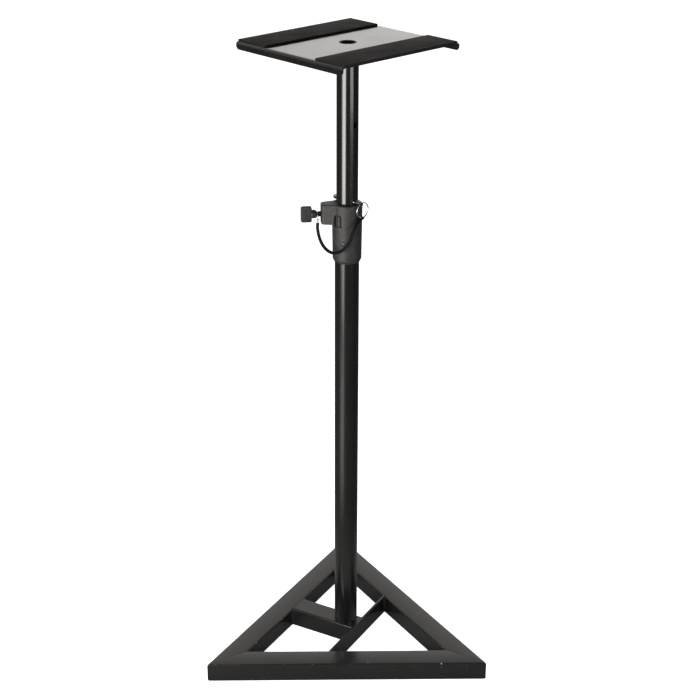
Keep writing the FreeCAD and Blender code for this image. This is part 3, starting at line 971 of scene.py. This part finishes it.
def barLoop(inset):
    # the box tube's outline in (across, up), drawn in by an inset
    half, low, high = bar["width"] / 2 - inset, inset, bar["height"] - inset
    corners = [(-half, low), (half, low), (half, high), (-half, high)]
    return roundedLoop(corners, bar["corner"] - min(inset, bar["wall"]), bar["cornerSteps"])


def baseBar(turn):
    # an outline carried along X between two mitre planes; close to each mitre the outside
    # dips by a bell curve into the ground weld seam; the inside wall runs back
    _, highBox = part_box("base_front_bar")
    inner = -highBox.y / mm
    outline, inside = barLoop(0.0), barLoop(bar["wall"])
    fromEnd = np.array(bar["seamRows"])
    dip = bar["seamDepth"] * np.exp(-((fromEnd / bar["seamWidth"]) ** 2) * bar["seamFall"])
    normals = loopNormals(outline)
    rows = []
    for step, depth in zip(fromEnd, dip):
        rows.append(barRow(outline - normals * depth, inner, -1, step, None))
    for share in np.linspace(*bar["middleRows"]):
        rows.append(barRow(outline, inner, -1, None, share))
    for step, depth in zip(fromEnd[::-1], dip[::-1]):
        rows.append(barRow(outline - normals * depth, inner, 1, step, None))
    rows.append(barRow(inside, inner, 1, 0.0, None))
    rows.append(barRow(inside, inner, -1, 0.0, None))
    points = np.concatenate(rows)
    faces = gridQuads(len(rows), len(outline), True, True).tolist()
    return turned(points, turn) * mm, faces


def barRow(loop, inner, end, step, share):
    # one outline between the mitres: a step from one end, or a share of the length
    reach = (inner + bar["width"] / 2 - loop[:, 0]) * math.sqrt(3)
    x = end * (reach - step) if share is None else reach * (2 * share - 1)
    y = loop[:, 0] - inner - bar["width"] / 2
    return np.stack([x, y, loop[:, 1]], axis=1)


def markEdges(piece, height):
    # marks the upper corners, where paint chips: 0 to 1 with height, and 0 on the flat top
    points = np.zeros(len(piece.data.vertices) * 3)
    piece.data.vertices.foreach_get("co", points)
    z = points.reshape(-1, 3)[:, 2]
    mark = np.clip((z - (height - bar["chipBelow"] * mm)) / (bar["chipFade"] * mm), 0, 1)
    mark = mark * (z < height - bar["chipGap"] * mm)
    layer = piece.data.attributes.new("edge", "FLOAT", "POINT")
    layer.data.foreach_set("value", mark.astype(np.float32))


def makeBase():
    for name, node, turn in (
        ("frontBar", "base_front_bar", 0),
        ("rightBar", "base_right_bar", 120),
        ("leftBar", "base_left_bar", 240),
    ):
        points, faces = baseBar(turn)
        piece = addPiece(name, points, faces, "black_paint", "black_paint", "stand", (node,))
        markEdges(piece, bar["height"] * mm)


makeBase()

strip = {
    "gap": 23.0,
    "thickness": 4.0,
    "edge": 0.7,
    "edgeSteps": 4,
    "inner": 100.0,             # from the pole's axis to the bars' inner faces
    "barTurns": (-90, 30),      # where the bars at its two ends face
    "rows": 24,
}


def flatStrip():
    # a flat bar on edge: its section carried between the two bars that it meets at a slant
    near, far = strip["gap"], strip["gap"] + strip["thickness"]
    height = bar["height"]
    corners = [(near, 0), (far, 0), (far, height), (near, height)]
    loop = roundedLoop(corners, strip["edge"], strip["edgeSteps"])
    along = math.radians(poleTurn["poleBar"])
    out = np.array([math.cos(along), math.sin(along)])
    side = np.array([-out[1], out[0]])
    ends = []
    for turn in strip["barTurns"]:
        normal = np.array([math.cos(math.radians(turn)), math.sin(math.radians(turn))])
        ends.append((strip["inner"] - loop[:, 0] * (out @ normal)) / (side @ normal))
    rows = []
    for share in np.linspace(0, 1, strip["rows"]):
        reach = ends[0] * (1 - share) + ends[1] * share
        plan = loop[:, :1] * out + reach[:, None] * side
        rows.append(np.c_[plan, loop[:, 1]])
    points, faces = closedTube(np.array(rows))
    return points * mm, faces


addPiece(
    "crossStrip", *flatStrip(), "black_paint", "black_paint", "stand", ("cross_strip",)
)
print("base made")

rubberStrip = {
    "length": 240.0,
    "width": 64.0,
    "thick": 3.0,
    "corner": 1.2,
    "cornerSteps": 6,
    "edge": 0.7,
    "lift": 0.01,
}


def rubberSlab(side):
    # a rounded slab laid along one open edge of the platform
    half = platform["width"] / 2
    low = half - rubberStrip["width"] if side > 0 else -half
    high = low + rubberStrip["width"]
    reach = rubberStrip["length"] / 2
    corners = [(-reach, low), (reach, low), (reach, high), (-reach, high)]
    loop = roundedLoop(corners, rubberStrip["corner"], rubberStrip["cornerSteps"])
    bottom = platform["height"] + rubberStrip["lift"]
    top = platform["height"] + rubberStrip["thick"]
    points, faces = softPrism(loop, bottom, top, rubberStrip["edge"])
    return turned(points, poleTurn["platform"]) * mm, faces


platform = {
    "height": 1085.0,
    "length": 248.0,
    "width": 240.0,
    "sheet": 2.0,
    "drop": 12.0,
    "bend": 4.0,
    "cutCorner": 4.0,
    "edge": 0.35,
    "dimpleRim": 14.5,
    "dimpleFloor": 10.5,
    "dimpleDepth": 9.5,
    "fineReach": 18,            # rows lie close together this far from the middle
    "fineRows": 73,
    "coarseRows": 14,
    "flangeRows": 9,
    "bendRows": 10,
}


def closerInMiddle(reach):
    # places from -reach to reach, close together over the dimple
    fine, coarse = platform["fineReach"], platform["coarseRows"]
    return np.r_[
        np.linspace(-reach, -fine, coarse)[:-1],
        np.linspace(-fine, fine, platform["fineRows"]),
        np.linspace(fine, reach, coarse)[1:],
    ]


def foldLine():
    # places and outward normals along the folded outline, from one flange's edge to the other
    bend, count = platform["bend"], platform["flangeRows"]
    reach = platform["length"] / 2
    flat = reach - bend
    middle = closerInMiddle(flat)
    centre = platform["height"] - bend
    straight = np.linspace(platform["height"] - platform["drop"], centre, count)
    angle = np.linspace(math.pi, math.pi / 2, platform["bendRows"])[1:-1]
    arc = np.c_[-flat + bend * np.cos(angle), centre + bend * np.sin(angle)]
    left = np.r_[np.c_[np.full(count, -reach), straight], arc]
    leftWay = np.r_[np.tile([-1.0, 0.0], (count, 1)), np.c_[np.cos(angle), np.sin(angle)]]
    top = np.c_[middle, np.full(len(middle), platform["height"])]
    topWay = np.tile([0.0, 1.0], (len(middle), 1))
    spots = np.r_[left, top, left[::-1] * (-1, 1)]
    ways = np.r_[leftWay, topWay, leftWay[::-1] * (-1, 1)]
    return spots, ways


def foldedSheet():
    # the folded outline carried across the sheet and back along its underside; the dimple is a
    # smooth step down, 3 s squared less 2 s cubed, as distance from the middle falls
    spots, ways = foldLine()
    half, edge, sheet = platform["width"] / 2, platform["edge"], platform["sheet"]
    over = closerInMiddle(half - edge)
    wide = np.r_[over, half, half, over[::-1], -half, -half]
    deep = np.r_[
        np.zeros(len(over)), edge, sheet - edge, np.full(len(over), sheet), sheet - edge, edge
    ]
    low = platform["height"] - platform["drop"]
    cut = np.clip(platform["cutCorner"] - (spots[:, 1] - low), 0, None)
    share = (half - cut) / half
    x = spots[:, None, 0] - ways[:, None, 0] * deep
    z = spots[:, None, 1] - ways[:, None, 1] * deep
    y = wide * share[:, None]
    rim, floor = platform["dimpleRim"], platform["dimpleFloor"]
    step = np.clip((rim - np.hypot(x, y)) / (rim - floor), 0, 1)
    z = z - platform["dimpleDepth"] * step * step * (3 - 2 * step)
    points = np.stack([x, y, z], axis=-1)
    rows, columns = x.shape
    faces = gridQuads(rows, columns, closeColumns=True).tolist()
    faces += [list(range(columns)), list(range((rows - 1) * columns, rows * columns))[::-1]]
    return turned(points.reshape(-1, 3), poleTurn["platform"]) * mm, faces


def makePlatform():
    addPiece(
        "platformPlate", *foldedSheet(), "plate_paint", "black_paint", "mast", ("top_plate",)
    )
    for name, node, side in (
        ("rearStrip", "rear_rubber_strip", 1),
        ("frontStrip", "front_rubber_strip", -1),
    ):
        addPiece(name, *rubberSlab(side), "strip_rubber", "strip_rubber", "mast", (node,))
    print("platform made")


makePlatform()

knob = {
    "face": 48.9,
    "tip": 3.8,
    "hub": 6.9,
    "taper": 2.7,
    "hubLength": 8.8,
    "wingLength": 17.7,
    "wingWidth": 26.0,
    "rootThick": 8.4,
    "endThick": 6.8,
    "waist": 0.06,              # how much thinner the wing is half way along
    "corner": 3.0,
    "cornerSteps": 8,
    "edge": 1.2,
    "edgeSteps": 6,
    "bevel": 0.3,
    "sunk": 1.4,                # the hub runs this far into the wing
    "height": 808.7,
}


def clampKnob():
    # a turned hub and a wing: the wing's side view raised across, thinned towards its end and,
    # by half a sine wave, at its middle
    start = knob["face"] + knob["hubLength"]
    end = start + knob["wingLength"]
    low = knob["height"] - knob["wingWidth"] / 2
    high = low + knob["wingWidth"]
    corners = [(start, low), (end, low), (end, high), (start, high)]
    outline = roundedLoop(corners, knob["corner"], knob["cornerSteps"])
    half = knob["rootThick"] / 2
    wing, wingFaces = softPrism(outline, -half, half, knob["edge"], knob["edgeSteps"])
    share = (wing[:, 0] - start) / knob["wingLength"]
    waist = 1 - knob["waist"] * np.sin(math.pi * share)
    thin = (1 - share) + share * knob["endThick"] / knob["rootThick"]
    wing = np.stack([wing[:, 0], wing[:, 2] * thin * waist, wing[:, 1]], axis=1)
    tip, hub, taper, reach = knob["tip"], knob["hub"], knob["taper"], knob["hubLength"]
    bevel, sunk = knob["bevel"], knob["sunk"]
    profile = [
        (0, 0), (tip - bevel, 0), (tip, bevel),
        (hub - 0.4, taper - bevel), (hub, taper + bevel),
        (hub, reach - 2 * bevel), (hub - 2 * bevel, reach + 0.1),
        (hub - 3 * bevel, reach + sunk), (0, reach + sunk),
    ]
    turnedHub, hubFaces = lathe(profile, 64)
    turnedHub = alongX(turnedHub, knob["height"], knob["face"])
    return joined([(wing, wingFaces), (turnedHub, hubFaces)])


rings = {
    "pinRing": {"node": "pin_ring", "body": "ring", "turn": "pin", "major": 12.6, "wire": 0.9},
    "tetherRing": {
        "node": "tether_ring", "body": "stand", "turn": "clamp", "major": 8.6, "wire": 0.6,
    },
}


def makeClamp():
    points, faces = clampKnob()
    points = turned(points, poleTurn["clamp"]) * mm
    addPiece("clampKnob", points, faces, "knob_plastic", "knob_plastic", "knob", ("clamp_knob",))
    for name, ring in rings.items():
        low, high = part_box(ring["node"])
        points, faces = wireRing(ring["major"], ring["wire"])
        points = turned(points, poleTurn[ring["turn"]]) * mm + np.array((low + high) / 2)
        addPiece(name, points, faces, "chrome", "chrome", ring["body"], (ring["node"],))
    print("clamp and rings made")


makeClamp()

keptNodes = {
    "pole_bar": "black_paint",
    "weld_beads": "black_paint",
    "lower_pole": "pole_paint",
    "upper_pole": "pole_paint",
    "pole_foot_plug": "zinc_plated_steel",
    "pole_foot_bolt": "zinc_plated_steel",
    "pole_foot_washer": "zinc_plated_steel",
    "clamp_collar": "collar_plastic",
    "collar_bushing": "nylon",
    "collar_screw": "black_screw_steel",
    "clamp_insert": "black_screw_steel",
    "clamp_stud": "zinc_plated_steel",
    "clamp_shoe": "nylon",
    "upper_pole_guide": "nylon",
    "pole_head_plug": "zinc_plated_steel",
    "plate_bolt": "black_screw_steel",
    "safety_pin": "chrome",
}

for node, finish in keptNodes.items():
    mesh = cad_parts[node].data
    mesh.materials.clear()
    mesh.materials.append(finishes[finish])
print("CAD nodes finished")


def makeSky():
    # a pale wall behind the stand that fades overhead and towards the front; the camera
    # sees white
    sky = bpy.data.worlds.new("studioSky")
    bpy.context.scene.world = sky
    build = Finish(sky, "Background")
    _, depth, height = build.axes(build.node("ShaderNodeTexCoord", output="Generated"))
    back = build.steps(depth, *studio["skyBack"])
    wall = build.steps(height, *studio["skyRise"], studio["skyLow"], studio["skyHigh"])
    shown = build.node("ShaderNodeLightPath", output="Is Camera Ray")
    light = (back * wall + studio["skyFront"]).largest(shown)
    build.feed(build.shader.inputs["Strength"], light)
    tint = build.mixColor(shown, studio["skyColor"], (1, 1, 1, 1))
    build.feed(build.shader.inputs["Color"], tint)


def floorFinish():
    # white to the camera; the light thrown back is dim, more so away from the base, and bright
    # along a card by a bell curve of the angle from the card's middle
    finish = Finish(bpy.data.materials.new("paleFloor"))
    shown = finish.node("ShaderNodeLightPath", output="Is Camera Ray")
    grain = finish.noise(*studio["floorGrain"])
    color, mottle = studio["floorColor"], studio["floorMottle"]
    level = finish.steps(grain, 0.0, 1.0, color - mottle, color + mottle)
    spot = finish.place()
    right, back, _ = finish.axes(spot)
    away = finish.node("ShaderNodeVectorMath", {"operation": "LENGTH"}, {0: spot}, "Value")
    turn = finish.node("ShaderNodeMath", {"operation": "ARCTAN2"}, {0: back, 1: right})
    off = (turn - math.radians(studio["cardTurn"])) * (1 / math.radians(studio["cardSpread"]))
    card = finish.node("ShaderNodeMath", {"operation": "EXPONENT"}, {0: off * off * -0.5})
    card = card * finish.steps(away, *studio["cardReach"])
    near = finish.steps(away, *studio["nearReach"], studio["nearBounce"], 0.0)
    bounce = card * (studio["cardBounce"] - studio["floorBounce"]) + studio["floorBounce"] + near
    return finish.done(
        color=finish.mixColor(shown, bounce, level), roughness=studio["floorRough"],
        emission=(1, 1, 1, 1), glow=shown * studio["floorShown"],
    )


def makeStudio():
    makeSky()
    for name, lamp in lights.items():
        place = around(lamp["turn"], lamp["distance"], lamp["height"])
        target = (0, 0, lamp["height"])
        areaLight(name, place, target, lamp["size"], lamp["power"], lamp["color"])
    areaLight("topLight", **topLight)
    mesh = bpy.data.meshes.new("studioFloor")
    reach = studio["floorReach"]
    mesh.from_pydata(
        [(-reach, -reach, 0), (reach, -reach, 0), (reach, reach, 0), (-reach, reach, 0)],
        [], [(0, 1, 2, 3)],
    )
    floor = bpy.data.objects.new("studioFloor", mesh)
    floor.location.z = -studio["floorDrop"]
    mesh.materials.append(floorFinish())
    bpy.context.scene.collection.objects.link(floor)
    bpy.context.scene.view_settings.view_transform = "Standard"


makeStudio()
print("studio made")
